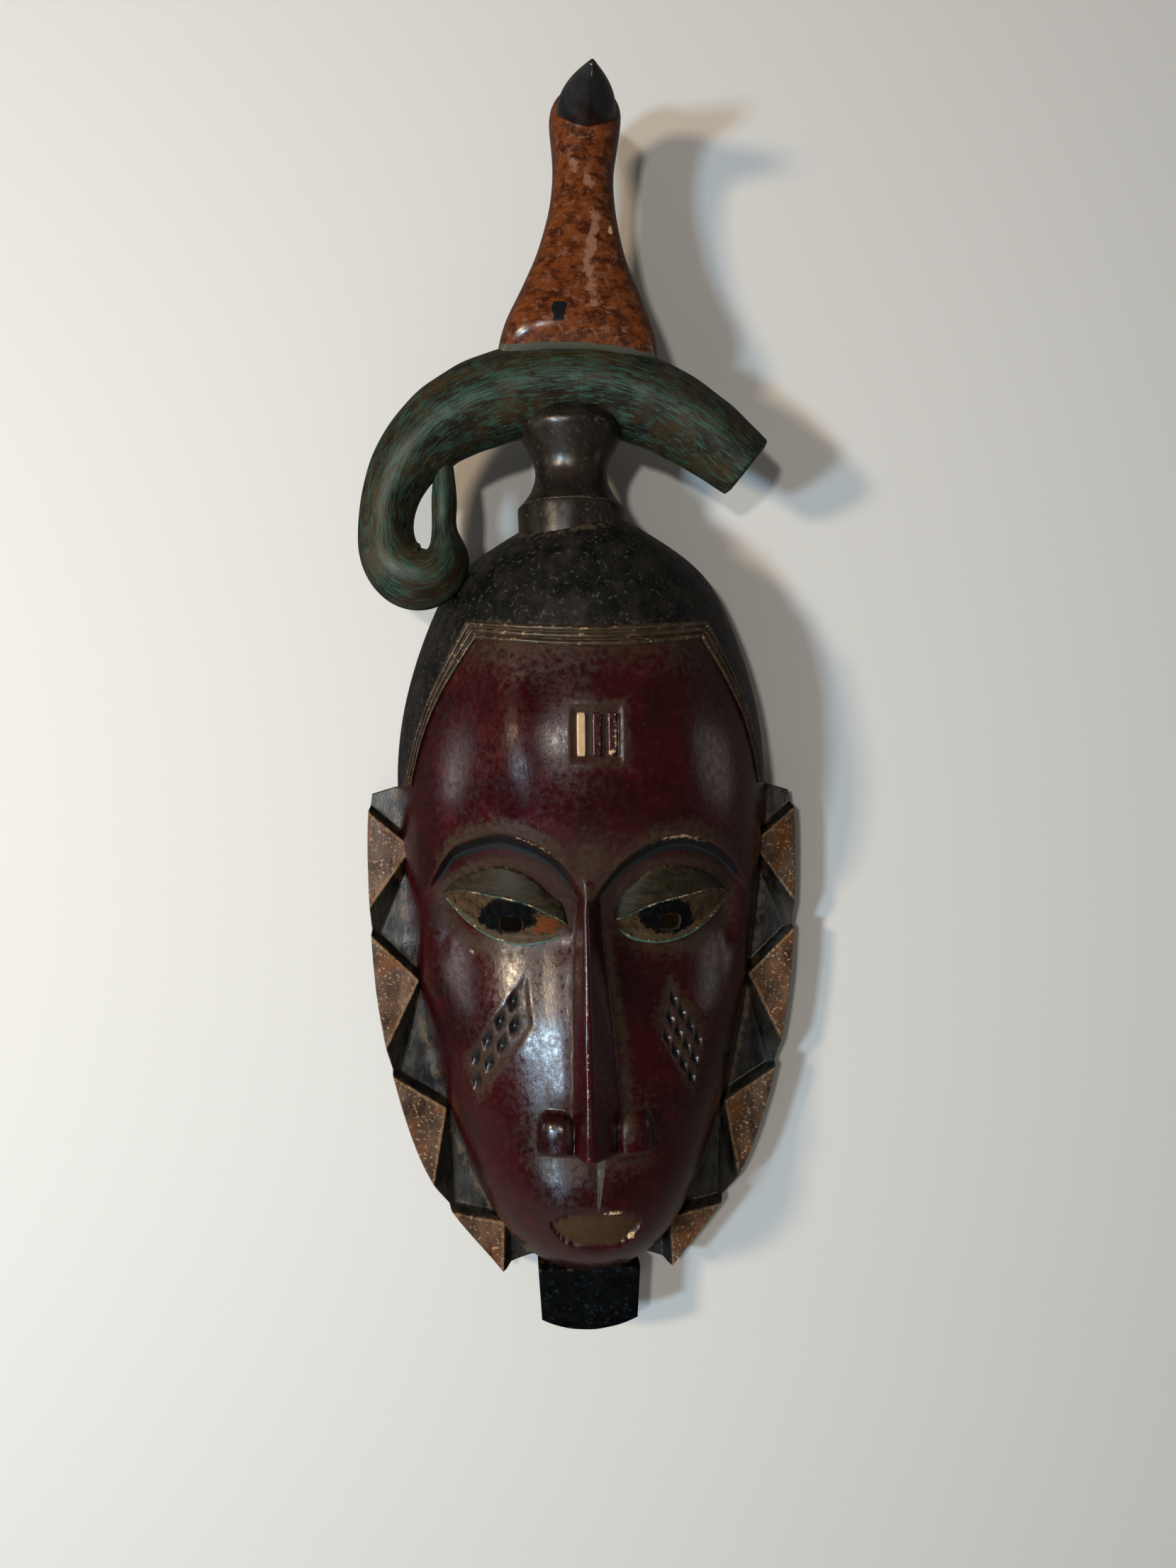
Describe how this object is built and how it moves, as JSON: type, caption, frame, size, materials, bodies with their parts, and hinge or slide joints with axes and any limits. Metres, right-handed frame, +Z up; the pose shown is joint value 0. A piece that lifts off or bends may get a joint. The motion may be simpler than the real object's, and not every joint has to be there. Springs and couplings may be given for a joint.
{
  "type": "wall mask",
  "caption": "Carved wooden wall mask: a hollow long face under a skull cap, with zigzag side flanges and a crest of a turned post, a curled horn and a bird.",
  "frame": {"origin": "middle of the chin post's flat back, on the wall plane and the mask's centre line", "axes": "+Z up along the mask, -Y out of the wall the way the face looks, +X to the viewer's right"},
  "size_m": [0.1747, 0.0865, 0.4892],
  "materials": {
    "oxblood_lacquer": "dark red lacquer, rubbed, dusty in the hollows",
    "charcoal_paint": "rubbed charcoal paint",
    "brown_paint": "worn brown paint on three ridges",
    "flange_paint": "charcoal with orange-brown triangles",
    "black_paint": "matt blue-black paint",
    "dark_brown_polish": "polished dark brown",
    "verdigris_paint": "dark brown with teal-green streaks",
    "red_brown_lacquer": "glossy mottled red-brown lacquer",
    "black_lacquer": "glossy black lacquer",
    "bare_wood": "bare pale wood"
  },
  "bodies": {
    "root": {"face_shell": "oxblood_lacquer", "skull_cap": "charcoal_paint", "hairline_band": "brown_paint", "forehead_bars": "bare_wood", "left_side_flange": "flange_paint", "right_side_flange": "flange_paint", "chin_post": "black_paint", "crest_post": "dark_brown_polish", "curled_horn": "verdigris_paint", "bird_body": "red_brown_lacquer", "bird_beak": "black_lacquer", "crest_dowel": "bare_wood", "bird_dowel": "bare_wood", "chin_dowel": "bare_wood", "flange_pegs": "bare_wood"}
  },
  "joints": []
}
